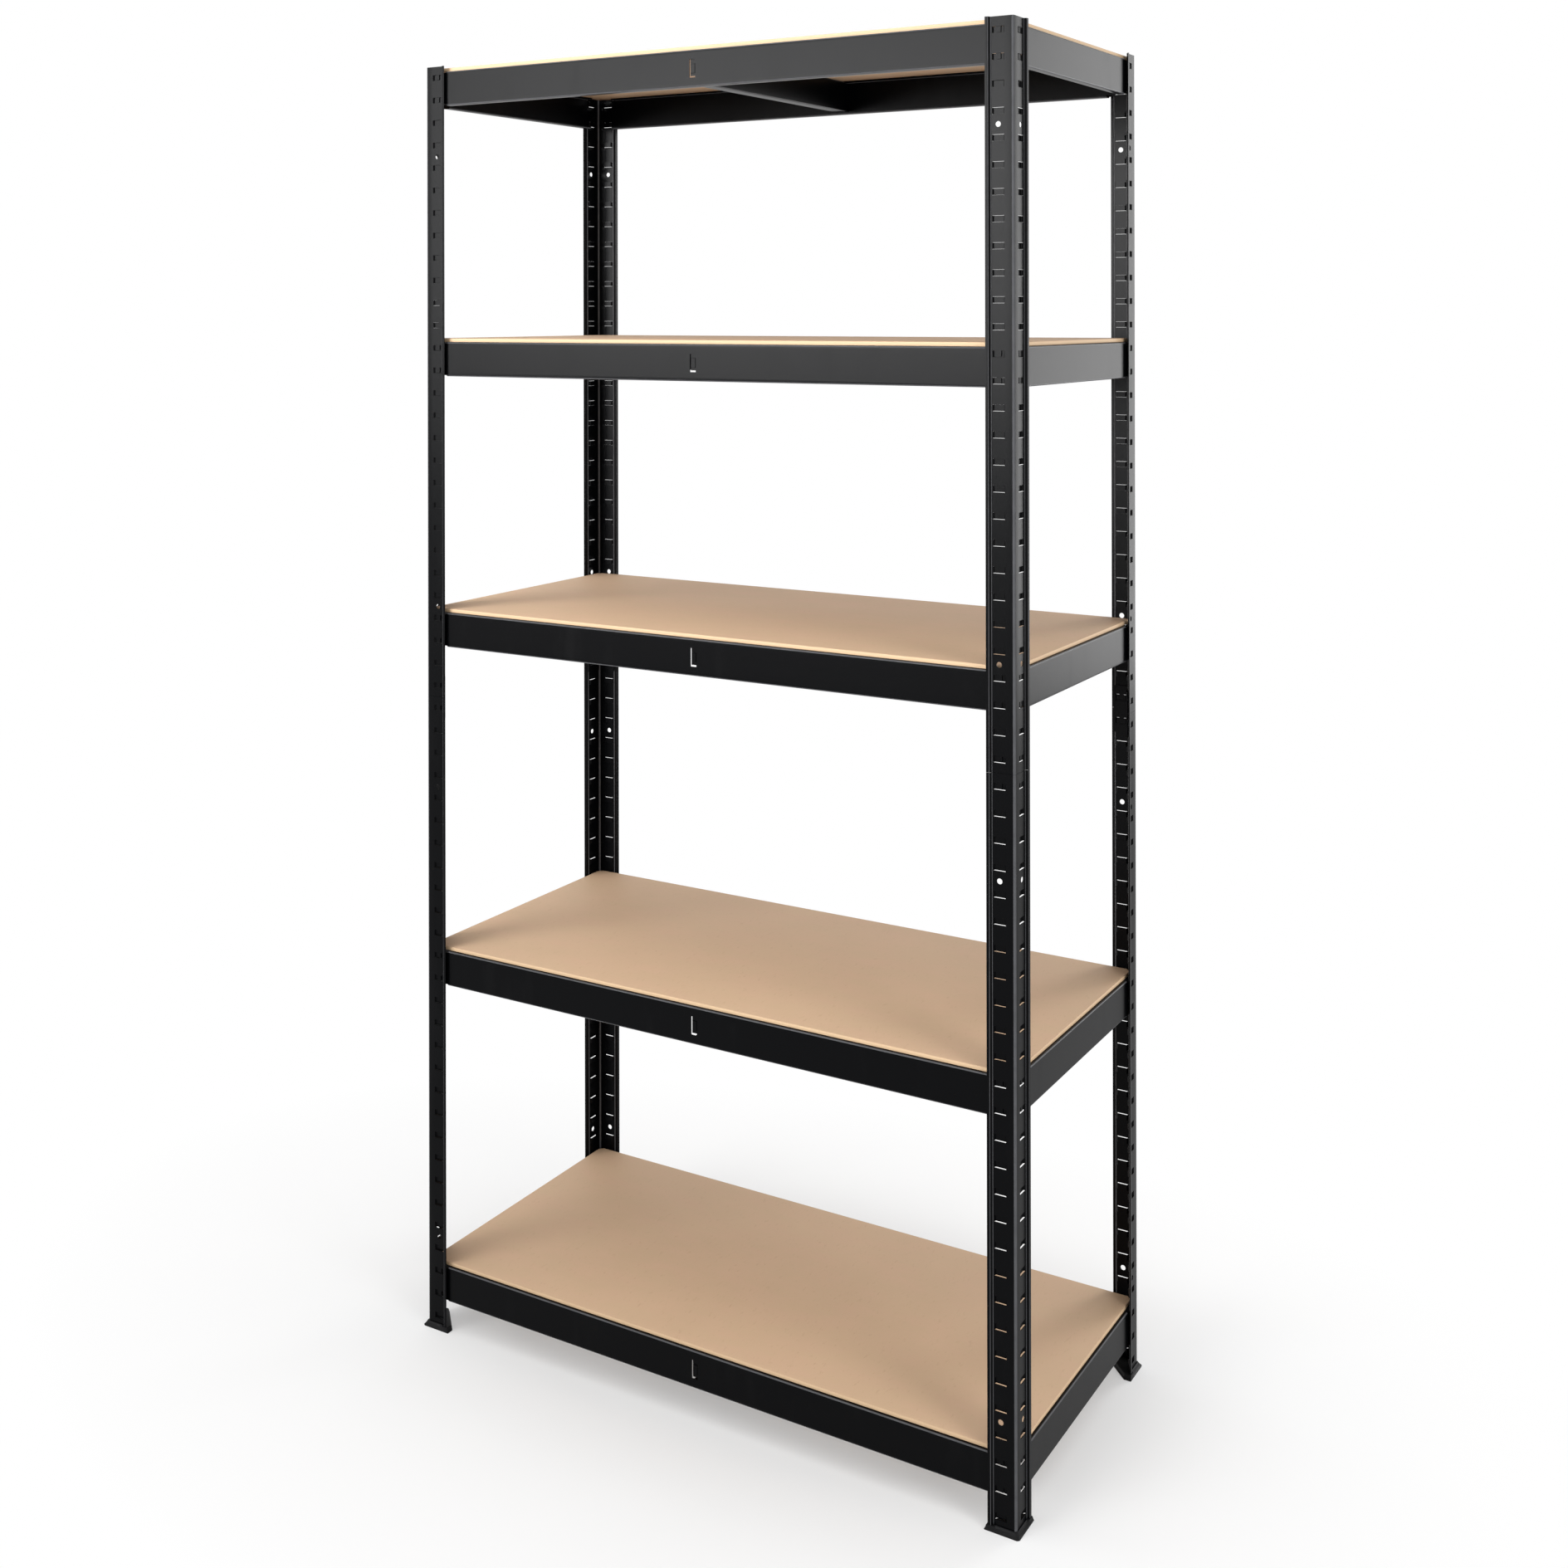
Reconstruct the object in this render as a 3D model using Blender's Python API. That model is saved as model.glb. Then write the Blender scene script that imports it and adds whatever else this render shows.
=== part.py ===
"""Boltless steel shelving: four two-piece corner posts, five tiers of hooked
beams with a centre support bar, and five loose boards.

Frame: X is the width, -Y is the front, +Z is up. The origin is on the floor
under the middle of the unit. Lengths below are in millimetres; the mesh
vertices are written in metres. Touching pieces keep a gap GAP.
"""
import math

import bmesh
import bpy
from mathutils import Matrix, Vector

MM = 0.001
GAP = 0.3

# overall
WIDTH = 900.0            # over the post faces
DEPTH = 410.0            # over the post faces
PITCH = 31.75            # spacing of the pressed tongues
TONGUES = 28             # per post and flange
POST_LENGTH = PITCH * TONGUES
FOOT_PLATE = 2.0         # foot material under the post

# post section, measured from the outer corner
SHEET = 0.8
FLANGE = 35.5
LIP_START = 28.9         # where the flange steps outwards
LIP_FLAT = 30.9
LIP_STEP = 3.6
CORNER_RADIUS = 3.0

# pressed tongue (a bridge joined to the flange at its left and right ends)
TONGUE_CENTRE = 20.0
TONGUE_WIDTH = 16.0
TONGUE_RAMP = 3.0
TONGUE_HEIGHT = 7.5
TONGUE_SLIT = 0.4
TONGUE_DEPTH = 3.4
HOLE_DIAMETER = 7.0
HOLE_PITCHES = 4         # from each post end
HOLE_SIDES = 12

# beams
TIER_PITCHES = (2, 16, 31, 43, 55)     # beam mid height above the post foot
BEAM_SHEET = 1.0
BEAM_HEIGHT = 48.0
BEAM_BEND = 1.6
LEDGE = 15.0             # inner edge of the top ledge, from the post face
BEAM_FOOT = 11.0         # inner edge of the bottom flange
BEAM_END = 6.0           # beam end, from the post corner
FULL_SECTION = 36.0      # where ledge and bottom flange begin
HOOK_WIDTH = 6.0
HOOK_LENGTH = 7.0
LIFT_OUT = 8.5           # lift that frees the hooks
SLOT_WIDTH = 9.0
SLOT_HEIGHT = 24.0

# splice connector, centre bar, boards, feet
CONNECTOR_HEIGHT = 64.0
CONNECTOR_SHEET = 1.5
BAR_SHEET = 1.0
BAR_WIDTH = 16.0
BAR_DROP = 20.0          # bar bottom below the beam mid height
TAB_HEIGHT = 13.0
PLATE_LEFT = -3.2         # end plate of the bar: leaves a slit of the slot open
PLATE_LOW = -8.5
BOARD_THICKNESS = 5.0
BOARD_INSET = 5.5
BOARD_CLIP = 6.0
FOOT_TOP = 7.0
FOOT_FLARE = 5.2
FOOT_TAPER = 1.0
FOOT_END_TAPER = 2.8
FOOT_RIM = 2.0

BLACK = (0.022, 0.022, 0.024, 1.0)
TAN = (0.52, 0.36, 0.22, 1.0)
PLASTIC = (0.012, 0.012, 0.013, 1.0)

CORNERS = {"front_left": (-1, -1), "front_right": (1, -1),
           "back_left": (-1, 1), "back_right": (1, 1)}


def clear_scene():
    for obj in list(bpy.data.objects):
        bpy.data.objects.remove(obj, do_unlink=True)


def material(name, colour, roughness, metallic):
    mat = bpy.data.materials.new(name)
    mat.use_nodes = True
    shader = mat.node_tree.nodes["Principled BSDF"]
    shader.inputs["Base Color"].default_value = colour
    shader.inputs["Roughness"].default_value = roughness
    shader.inputs["Metallic"].default_value = metallic
    return mat


def face_out(bm):
    """Turn the closed body's faces outwards."""
    bmesh.ops.recalc_face_normals(bm, faces=bm.faces)
    if bm.calc_volume(signed=True) < 0.0:
        bmesh.ops.reverse_faces(bm, faces=bm.faces)


def make_object(name, bm, mat):
    face_out(bm)
    mesh = bpy.data.meshes.new(name)
    bm.to_mesh(mesh)
    bm.free()
    obj = bpy.data.objects.new(name, mesh)
    obj.data.materials.append(mat)
    bpy.context.scene.collection.objects.link(obj)
    return obj


def sheet_cells(section, levels, filled, shift=None):
    """Solid sheet from cells.

    section: (outer, inner) point pairs across the sheet's strip.
    levels: positions along the sweep axis.
    filled(i, j): whether strip i exists between levels j and j + 1.
    shift(i, j): extra offset of section pair i in that same interval.
    Only the faces that bound one filled cell are kept.
    """
    bm = bmesh.new()
    verts = {}
    faces = {}

    def vert(point, level):
        key = (round(point[0], 4), round(point[1], 4), round(level, 4))
        if key not in verts:
            verts[key] = bm.verts.new((key[0] * MM, key[1] * MM, key[2] * MM))
        return verts[key]

    for j in range(len(levels) - 1):
        for i in range(len(section) - 1):
            if not filled(i, j):
                continue
            pts = []
            for pair in (i, i + 1):
                offset = shift(pair, i, j) if shift else (0.0, 0.0)
                outer, inner = section[pair]
                pts.append((outer[0] + offset[0], outer[1] + offset[1]))
                pts.append((inner[0] + offset[0], inner[1] + offset[1]))
            lo = [vert(p, levels[j]) for p in pts]
            hi = [vert(p, levels[j + 1]) for p in pts]
            for quad in ((lo[0], lo[1], lo[3], lo[2]), (hi[0], hi[2], hi[3], hi[1]),
                         (lo[0], lo[2], hi[2], hi[0]), (lo[1], hi[1], hi[3], lo[3]),
                         (lo[0], hi[0], hi[1], lo[1]), (lo[2], lo[3], hi[3], hi[2])):
                key = frozenset(quad)
                if key in faces:
                    faces[key] = None
                else:
                    faces[key] = quad
    for quad in faces.values():
        if quad is not None:
            bm.faces.new(quad)
    loose = [v for v in bm.verts if not v.link_faces]
    bmesh.ops.delete(bm, geom=loose, context='VERTS')
    bmesh.ops.recalc_face_normals(bm, faces=bm.faces)
    bmesh.ops.dissolve_limit(bm, angle_limit=0.001, verts=bm.verts, edges=bm.edges,
                             use_dissolve_boundaries=False)
    return bm


def post_section():
    """(outer, inner) pairs from the lip of one flange round to the other lip."""
    t0 = TONGUE_CENTRE - TONGUE_WIDTH / 2
    t1 = TONGUE_CENTRE + TONGUE_WIDTH / 2
    arm = [((FLANGE, -LIP_STEP), (FLANGE, -LIP_STEP + SHEET)),
           ((LIP_FLAT, -LIP_STEP), (LIP_FLAT - 0.25, -LIP_STEP + SHEET)),
           ((LIP_START + 0.25, 0.0), (LIP_START, SHEET)),
           ((t1, 0.0), (t1, SHEET)),
           ((t1 - TONGUE_RAMP, 0.0), (t1 - TONGUE_RAMP, SHEET)),
           ((t0 + TONGUE_RAMP, 0.0), (t0 + TONGUE_RAMP, SHEET)),
           ((t0, 0.0), (t0, SHEET))]
    turn = []
    for step in range(4):
        angle = math.radians(30.0 * step)
        for_radius = []
        for radius in (CORNER_RADIUS, CORNER_RADIUS - SHEET):
            for_radius.append((CORNER_RADIUS - radius * math.sin(angle),
                               CORNER_RADIUS - radius * math.cos(angle)))
        turn.append(tuple(for_radius))
    other = [((o[1], o[0]), (n[1], n[0])) for o, n in reversed(arm)]
    return arm + turn + other


def used_tongues(half):
    """Lattice numbers of the tongues that hold a beam or the splice connector."""
    base = 0 if half == "lower" else TONGUES
    used = [TONGUES - 1 - base if half == "lower" else 0]
    for tier in TIER_PITCHES:
        for k in (tier - 1, tier):
            if 0 <= k - base < TONGUES:
                used.append(k - base)
    return sorted(set(used))


def post(name, corner, half, mat):
    section = post_section()
    z0 = FOOT_PLATE + (0.0 if half == "lower" else POST_LENGTH)
    bottom, top = z0 + GAP / 2, z0 + POST_LENGTH - (GAP / 2 if half == "lower" else 0.0)
    levels = [bottom]
    kinds = []
    for k in used_tongues(half):
        centre = z0 + (k + 0.5) * PITCH
        low, high = centre - TONGUE_HEIGHT / 2, centre + TONGUE_HEIGHT / 2
        for level, kind in ((low - TONGUE_SLIT, "plain"), (low, "slit"),
                            (high, "tongue"), (high + TONGUE_SLIT, "slit")):
            levels.append(level)
            kinds.append(kind)
    levels.append(top)
    kinds.append("plain")
    first = (3, 4, 5)                       # strips across the tongue, first flange
    second = tuple(len(section) - 2 - i for i in first)

    def filled(i, j):
        return not (kinds[j] == "slit" and (i in first or i in second))

    def shift(pair, i, j):
        if kinds[j] != "tongue":
            return (0.0, 0.0)
        if i in first and pair in (4, 5):
            return (0.0, TONGUE_DEPTH)
        if i in second and pair in (len(section) - 6, len(section) - 5):
            return (TONGUE_DEPTH, 0.0)
        return (0.0, 0.0)

    bm = sheet_cells(section, levels, filled, shift)
    obj = make_object(name, to_corner(bm, corner), mat)
    cutters = bmesh.new()
    for end in (HOLE_PITCHES, TONGUES - HOLE_PITCHES):
        z = (z0 + end * PITCH) * MM
        for turned in (False, True):
            ring = bmesh.ops.create_cone(cutters, cap_ends=True, segments=HOLE_SIDES,
                                         radius1=HOLE_DIAMETER / 2 * MM,
                                         radius2=HOLE_DIAMETER / 2 * MM, depth=4 * MM)
            spin = Matrix.Rotation(math.radians(90), 4, 'Y' if turned else 'X')
            place = (SHEET / 2 * MM, TONGUE_CENTRE * MM, z) if turned else \
                    (TONGUE_CENTRE * MM, SHEET / 2 * MM, z)
            bmesh.ops.transform(cutters, verts=ring["verts"],
                                matrix=Matrix.Translation(place) @ spin)
    cut(obj, to_corner(cutters, corner))
    return obj


def to_corner(bm, corner):
    """Put corner-local geometry (u, v, z) at one corner of the unit."""
    sx, sy = CORNERS[corner]
    for v in bm.verts:
        u, w = v.co.x, v.co.y
        v.co.x = sx * (WIDTH / 2 * MM - u)
        v.co.y = sy * (DEPTH / 2 * MM - w)
    face_out(bm)
    return bm


def cut(obj, bm):
    mesh = bpy.data.meshes.new(obj.name + "_cutter")
    bm.to_mesh(mesh)
    bm.free()
    tool = bpy.data.objects.new(obj.name + "_cutter", mesh)
    bpy.context.scene.collection.objects.link(tool)
    tool.hide_render = True
    tool.display_type = 'WIRE'
    mod = obj.modifiers.new("cut", 'BOOLEAN')
    mod.operation = 'DIFFERENCE'
    mod.solver = 'EXACT'
    mod.object = tool


def window_levels(centre):
    """Heights of a hook window: bottom, hook tip, top."""
    top = centre + TONGUE_HEIGHT / 2 + GAP
    return centre - TONGUE_HEIGHT / 2 - LIFT_OUT - 0.5, top - HOOK_LENGTH, top


def beam(name, tier, axis, side, mat):
    """One tier beam. axis 'x' runs along the width, 'y' along the depth."""
    half = (WIDTH if axis == 'x' else DEPTH) / 2
    face = GAP + SHEET
    h = BEAM_HEIGHT / 2
    s, r = BEAM_SHEET, BEAM_BEND
    up = window_levels(PITCH / 2)
    down = window_levels(-PITCH / 2)
    web = sorted([h - r, up[2], up[1], up[0], down[2], down[1], -(h - r)] +
                 ([SLOT_HEIGHT / 2, -SLOT_HEIGHT / 2] if axis == 'x' else []), reverse=True)
    section = [((LEDGE, h), (LEDGE, h - s))]
    for step in range(3):
        a = math.radians(45 * step)
        section.append(((face + r - r * math.sin(a), h - r + r * math.cos(a)),
                        (face + r - (r - s) * math.sin(a), h - r + (r - s) * math.cos(a))))
    first_web = len(section) - 1
    section += [((face, z), (face + s, z)) for z in web[1:-1]]
    last_web = len(section)
    for step in range(3):
        a = math.radians(90 - 45 * step)
        section.append(((face + r - r * math.sin(a), -h + r - r * math.cos(a)),
                        (face + r - (r - s) * math.sin(a), -h + r - (r - s) * math.cos(a))))
    section.append(((BEAM_FOOT, -h), (BEAM_FOOT, -h + s)))

    t0 = TONGUE_CENTRE - TONGUE_WIDTH / 2 - 0.5
    t1 = TONGUE_CENTRE + TONGUE_WIDTH / 2 + 0.5
    hook0, hook1 = TONGUE_CENTRE - HOOK_WIDTH / 2, TONGUE_CENTRE + HOOK_WIDTH / 2
    ends = [BEAM_END, t0, hook0, hook1, t1, FULL_SECTION]
    levels = [-half + e for e in ends]
    if axis == 'x':
        levels += [-SLOT_WIDTH / 2, SLOT_WIDTH / 2]
    levels += [half - e for e in reversed(ends)]

    def filled(i, j):
        mid = (levels[j] + levels[j + 1]) / 2
        u = half - abs(mid)
        in_web = first_web <= i < last_web
        if u < FULL_SECTION and not in_web:
            return False
        if in_web:
            z = (section[i][0][1] + section[i + 1][0][1]) / 2
            if axis == 'x' and abs(mid) < SLOT_WIDTH / 2 and abs(z) < SLOT_HEIGHT / 2:
                return False
            for low, tip, high in (up, down):
                if t0 < u < t1 and low < z < high:
                    if not (hook0 < u < hook1 and z > tip):
                        return False
        return True

    bm = sheet_cells(section, levels, filled)
    z_mid = FOOT_PLATE + TIER_PITCHES[tier - 1] * PITCH
    for v in bm.verts:
        depth_in, z, along = v.co.x, v.co.y, v.co.z
        if axis == 'x':
            v.co = (along, side * (DEPTH / 2 * MM - depth_in), z + z_mid * MM)
        else:
            v.co = (side * (WIDTH / 2 * MM - depth_in), along, z + z_mid * MM)
    return make_object(name, bm, mat)


def connector(name, corner, mat):
    """L plate inside the two post halves, hooked on the tongues beside the splice."""
    face = GAP + SHEET
    s = CONNECTOR_SHEET
    t0 = TONGUE_CENTRE - TONGUE_WIDTH / 2 - 0.5
    t1 = TONGUE_CENTRE + TONGUE_WIDTH / 2 + 0.5
    hook0, hook1 = TONGUE_CENTRE - HOOK_WIDTH / 2, TONGUE_CENTRE + HOOK_WIDTH / 2
    arm = [((u, face), (u, face + s)) for u in (31.0, t1, hook1, hook0, t0)]
    r = CORNER_RADIUS
    turn = []
    for step in range(3):
        a = math.radians(45 * step)
        turn.append(((face + r - r * math.sin(a), face + r - r * math.cos(a)),
                     (face + r - (r - s) * math.sin(a), face + r - (r - s) * math.cos(a))))
    other = [((o[1], o[0]), (n[1], n[0])) for o, n in reversed(arm)]
    section = arm + turn + other
    z_mid = FOOT_PLATE + POST_LENGTH
    low = PITCH / 2 - TONGUE_HEIGHT / 2 - 1.0
    spans = [(low, PITCH / 2 + TONGUE_HEIGHT / 2 + GAP - HOOK_LENGTH,
              PITCH / 2 + TONGUE_HEIGHT / 2 + GAP),
             (low - PITCH, -PITCH / 2 + TONGUE_HEIGHT / 2 + GAP - HOOK_LENGTH,
              -PITCH / 2 + TONGUE_HEIGHT / 2 + GAP)]
    h = CONNECTOR_HEIGHT / 2
    levels = sorted({-h, h} | {z for span in spans for z in span})
    last = len(section) - 2
    window = (1, 2, 3)
    hook = (2,)

    def filled(i, j):
        z = (levels[j] + levels[j + 1]) / 2
        k = i if i in window else last - i
        for a, tip, b in spans:
            if a < z < b and k in window and not (k in hook and z > tip):
                return False
        return True

    bm = sheet_cells(section, [z + z_mid for z in levels], filled)
    return make_object(name, to_corner(bm, corner), mat)


def grid_body(xs, ys, zs, filled):
    """Closed body from the filled boxes of a grid."""
    bm = bmesh.new()
    verts = {}
    faces = {}

    def vert(x, y, z):
        if (x, y, z) not in verts:
            verts[(x, y, z)] = bm.verts.new((x * MM, y * MM, z * MM))
        return verts[(x, y, z)]

    for x0, x1 in zip(xs, xs[1:]):
        for y0, y1 in zip(ys, ys[1:]):
            for z0, z1 in zip(zs, zs[1:]):
                if not filled((x0 + x1) / 2, (y0 + y1) / 2, (z0 + z1) / 2):
                    continue
                c = [vert(x, y, z) for z in (z0, z1)
                     for x, y in ((x0, y0), (x1, y0), (x1, y1), (x0, y1))]
                for quad in ((0, 3, 2, 1), (4, 5, 6, 7), (0, 1, 5, 4), (1, 2, 6, 5),
                             (2, 3, 7, 6), (3, 0, 4, 7)):
                    face = tuple(c[n] for n in quad)
                    key = frozenset(face)
                    faces[key] = None if key in faces else face
    for face in faces.values():
        if face is not None:
            bm.faces.new(face)
    bmesh.ops.delete(bm, geom=[v for v in bm.verts if not v.link_faces], context='VERTS')
    face_out(bm)
    bmesh.ops.dissolve_limit(bm, angle_limit=0.001, verts=bm.verts, edges=bm.edges,
                             use_dissolve_boundaries=False)
    return bm


def centre_bar(name, tier, mat):
    """Channel under the board; each end plate has a pressed tab that fills the beam slot."""
    z_mid = FOOT_PLATE + TIER_PITCHES[tier - 1] * PITCH
    s, w, h = BAR_SHEET, BAR_WIDTH / 2, BEAM_HEIGHT / 2
    low, under = -BAR_DROP, h - BEAM_SHEET - GAP
    tab_x, tab_z = SLOT_WIDTH / 2 - 2 * GAP, TAB_HEIGHT / 2
    reach = DEPTH / 2 - SHEET - 2 * GAP - BEAM_SHEET
    boss = reach + BEAM_SHEET + GAP / 2
    ledge = DEPTH / 2 - LEDGE - GAP
    xs = [-w, PLATE_LEFT, PLATE_LEFT + 0.4, tab_x, w - s, w]
    ys = [-boss, -reach, s - reach, -ledge, ledge, reach - s, reach, boss]
    zs = [low, low + s, PLATE_LOW, -tab_z, tab_z, under, h - s, h]

    def filled(x, y, z):
        y = abs(y)
        if y > reach:
            return PLATE_LEFT + 0.4 < x < tab_x and abs(z) < tab_z
        if y > ledge and z > under:
            return False
        if x > w - s or z < low + s or z > h - s:
            return True
        return y > reach - s and x > PLATE_LEFT and z > PLATE_LOW

    bm = grid_body(xs, ys, zs, filled)
    bmesh.ops.translate(bm, verts=bm.verts, vec=Vector((0, 0, z_mid * MM)))
    return make_object(name, bm, mat)


def board(name, tier, mat):
    z0 = FOOT_PLATE + TIER_PITCHES[tier - 1] * PITCH + BEAM_HEIGHT / 2 + GAP
    x, y, c = WIDTH / 2 - BOARD_INSET, DEPTH / 2 - BOARD_INSET, BOARD_CLIP
    ring = [(x - c, -y), (x, -y + c), (x, y - c), (x - c, y),
            (-x + c, y), (-x, y - c), (-x, -y + c), (-x + c, -y)]
    bm = bmesh.new()
    base = bm.faces.new([bm.verts.new((a * MM, b * MM, z0 * MM)) for a, b in ring])
    out = bmesh.ops.extrude_face_region(bm, geom=[base])
    lifted = [g for g in out["geom"] if isinstance(g, bmesh.types.BMVert)]
    bmesh.ops.translate(bm, verts=lifted, vec=Vector((0, 0, BOARD_THICKNESS * MM)))
    return make_object(name, bm, mat)


def foot(name, corner, mat):
    """Push-on cap: a flared block with a slot that takes the post end."""
    f, e = FOOT_FLARE, FLANGE + 4.0
    bm = bmesh.new()
    rings = []
    for z, g, end in ((0.0, f, e), (FOOT_RIM, f, e),
                      (FOOT_TOP, f - FOOT_TAPER, e - FOOT_END_TAPER)):
        pts = [(-g + 3, -g), (end, -g), (end, 5.0), (5.0, end), (-g, end), (-g, -g + 3)]
        rings.append([bm.verts.new((a * MM, b * MM, z * MM)) for a, b in pts])
    bm.faces.new(rings[0])
    bm.faces.new(rings[-1])
    for lower, upper in zip(rings, rings[1:]):
        for i in range(len(lower)):
            k = (i + 1) % len(lower)
            bm.faces.new((lower[i], lower[k], upper[k], upper[i]))
    obj = make_object(name, to_corner(bm, corner), mat)
    g = GAP
    slot = []
    for outer, inner in post_section():
        o, n = Vector(outer), Vector(inner)
        way = (n - o).normalized() * g
        slot.append((tuple(o - way), tuple(n + way)))
    slot[0] = ((FLANGE + g, slot[0][0][1]), (FLANGE + g, slot[0][1][1]))
    slot[-1] = ((slot[-1][0][0], FLANGE + g), (slot[-1][1][0], FLANGE + g))
    tool = sheet_cells(slot, [FOOT_PLATE, FOOT_TOP + 5.0], lambda i, j: True)
    cut(obj, to_corner(tool, corner))
    return obj


def build():
    clear_scene()
    steel = material("powder_coated_steel", BLACK, 0.42, 0.0)
    wood = material("fibreboard", TAN, 0.75, 0.0)
    rubber = material("foot_plastic", PLASTIC, 0.55, 0.0)
    for corner in CORNERS:
        post("post_lower_" + corner, corner, "lower", steel)
        post("post_upper_" + corner, corner, "upper", steel)
        connector("splice_connector_" + corner, corner, steel)
        foot("foot_cap_" + corner, corner, rubber)
    for tier in range(1, len(TIER_PITCHES) + 1):
        for side_name, axis, side in (("front", 'x', -1), ("back", 'x', 1),
                                      ("left", 'y', -1), ("right", 'y', 1)):
            beam("beam_%d_%s" % (tier, side_name), tier, axis, side, steel)
        centre_bar("centre_bar_%d" % tier, tier, steel)
        board("board_%d" % tier, tier, wood)


build()
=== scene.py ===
"""Looks for a boltless shelving unit: folded steel posts and beams, fibreboard
shelves, plastic foot caps. Metres throughout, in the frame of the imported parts."""
import math

import bmesh
import bpy
from mathutils import Matrix, Vector


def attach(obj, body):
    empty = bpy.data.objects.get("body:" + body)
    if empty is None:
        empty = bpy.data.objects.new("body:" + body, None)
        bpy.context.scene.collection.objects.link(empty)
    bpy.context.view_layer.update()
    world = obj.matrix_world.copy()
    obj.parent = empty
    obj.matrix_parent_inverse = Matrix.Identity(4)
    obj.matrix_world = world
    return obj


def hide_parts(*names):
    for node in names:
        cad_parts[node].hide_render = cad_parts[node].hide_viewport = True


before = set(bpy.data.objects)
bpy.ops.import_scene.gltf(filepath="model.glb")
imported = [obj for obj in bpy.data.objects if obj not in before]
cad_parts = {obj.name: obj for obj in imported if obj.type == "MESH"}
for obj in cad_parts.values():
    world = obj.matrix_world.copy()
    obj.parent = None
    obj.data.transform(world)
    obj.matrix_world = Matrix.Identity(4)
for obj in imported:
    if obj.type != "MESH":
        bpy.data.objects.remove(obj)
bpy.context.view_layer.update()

WIDTH, DEPTH = 0.900, 0.410
PITCH, TONGUES = 0.03175, 28
POST = PITCH * TONGUES
PLATE = 0.002                      # foot cap under the post end
GAP = 0.0003                       # clearance between parts that touch
SHEET = 0.0008                     # steel of the posts
FLANGE, LIP_AT, LIP_STEP = 0.0355, 0.0289, 0.0036
TIERS = (2, 16, 31, 43, 55)
CORNERS = {"front_left": (-1, -1), "front_right": (1, -1),
           "back_left": (-1, 1), "back_right": (1, 1)}
CLOSE = 1e-5                       # two places count as the same within this

JOG, LEAN, POST_CORNER = 0.0010, 60, 0.003   # the lip's small bends, and the big one

# a pressed tongue, measured along the flange from the post corner
TONGUE_MID, TONGUE_W, TONGUE_H, PRESS = 0.020, 0.0155, 0.0079, 0.0024
TONGUE_START, TONGUE_STOP = TONGUE_MID - TONGUE_W / 2, TONGUE_MID + TONGUE_W / 2
RAMP = ((0.0003, 0.12), (0.0007, 0.50), (0.0011, 0.88), (0.0015, 1.0))   # run, part of depth
HOLES, HOLE_RADIUS, HOLE_FIELD = (4 * PITCH, (TONGUES - 4) * PITCH), 0.0035, 0.006

# a window that takes a tongue, with the tooth that hooks over it
WINDOW = (TONGUE_START - 0.0005, TONGUE_STOP + 0.0005)
HOOK = (TONGUE_MID - 0.003, TONGUE_MID + 0.003)
HELD = 0.00375                     # half the height of tongue that a hook holds
TOOTH = 0.007
UNHOOK = 0.0085                    # lift that frees a beam

BEAM_H, BEAM_SHEET, BEAM_BEND = 0.048, 0.001, 0.0018
BEAM_END, FULL_SECTION = 0.006, 0.036   # where the web and the flanges begin
LEDGE, FOOT = 0.015, 0.011         # reach of the upper and lower flange
SLOT = (0.0045, 0.012)             # half width and half height of the centre slot
BOARD_IN, BOARD_T, BOARD_CLIP = 0.0055, 0.005, 0.006


# ---------------------------------------------------------------- sheet metal

class Fold:
    """Walks a sheet's section in the XY plane with straight runs and bends."""

    def __init__(self, bm, x, y, heading):
        self.bm, self.heading = bm, math.radians(heading)
        # the bend layer marks the vertices of each bend; the powder coat paints a highlight along
        # them
        self.bends = bm.verts.layers.float.new("bend")
        self.tip = bmesh.ops.create_vert(bm, co=(x, y, 0))["vert"][0]

    def run(self, *lengths):
        for length in lengths:
            out = bmesh.ops.extrude_vert_indiv(self.bm, verts=[self.tip])
            self.tip = out["verts"][0]
            step = Vector((math.cos(self.heading), math.sin(self.heading), 0)) * length
            bmesh.ops.translate(self.bm, verts=[self.tip], vec=step)
        return self

    def bend(self, radius, degrees, steps=4):
        side = 1 if degrees > 0 else -1
        known = set(self.bm.verts)
        normal = Vector((-math.sin(self.heading), math.cos(self.heading), 0)) * side
        out = bmesh.ops.spin(self.bm, geom=[self.tip], cent=self.tip.co + normal * radius,
                             axis=(0, 0, 1), angle=math.radians(degrees), steps=steps,
                             use_duplicate=False)
        self.tip = [g for g in out["geom_last"] if isinstance(g, bmesh.types.BMVert)][0]
        for v in self.bm.verts:
            if v not in known and v is not self.tip:
                v[self.bends] = 1.0
        return self.turn(degrees)

    def turn(self, degrees):
        self.heading += math.radians(degrees)
        return self


def raise_sheet(bm, low, high):
    """Turn the section line into a standing sheet between two heights."""
    out = bmesh.ops.extrude_edge_only(bm, edges=bm.edges[:])
    top = [g for g in out["geom"] if isinstance(g, bmesh.types.BMVert)]
    bmesh.ops.translate(bm, verts=top, vec=(0, 0, high - low))
    bmesh.ops.translate(bm, verts=bm.verts[:], vec=(0, 0, low))


def score(bm, axis, *places):
    """Cut lines into the sheet across one axis."""
    normal = [0, 0, 0]
    normal[axis] = 1
    for place in places:
        point = [0, 0, 0]
        point[axis] = place
        bmesh.ops.bisect_plane(bm, geom=bm.verts[:] + bm.edges[:] + bm.faces[:],
                               dist=1e-6, plane_co=point, plane_no=normal)


def inside(co, box):
    return all(lo - CLOSE < c < hi + CLOSE for c, (lo, hi) in zip(co, box))


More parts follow.
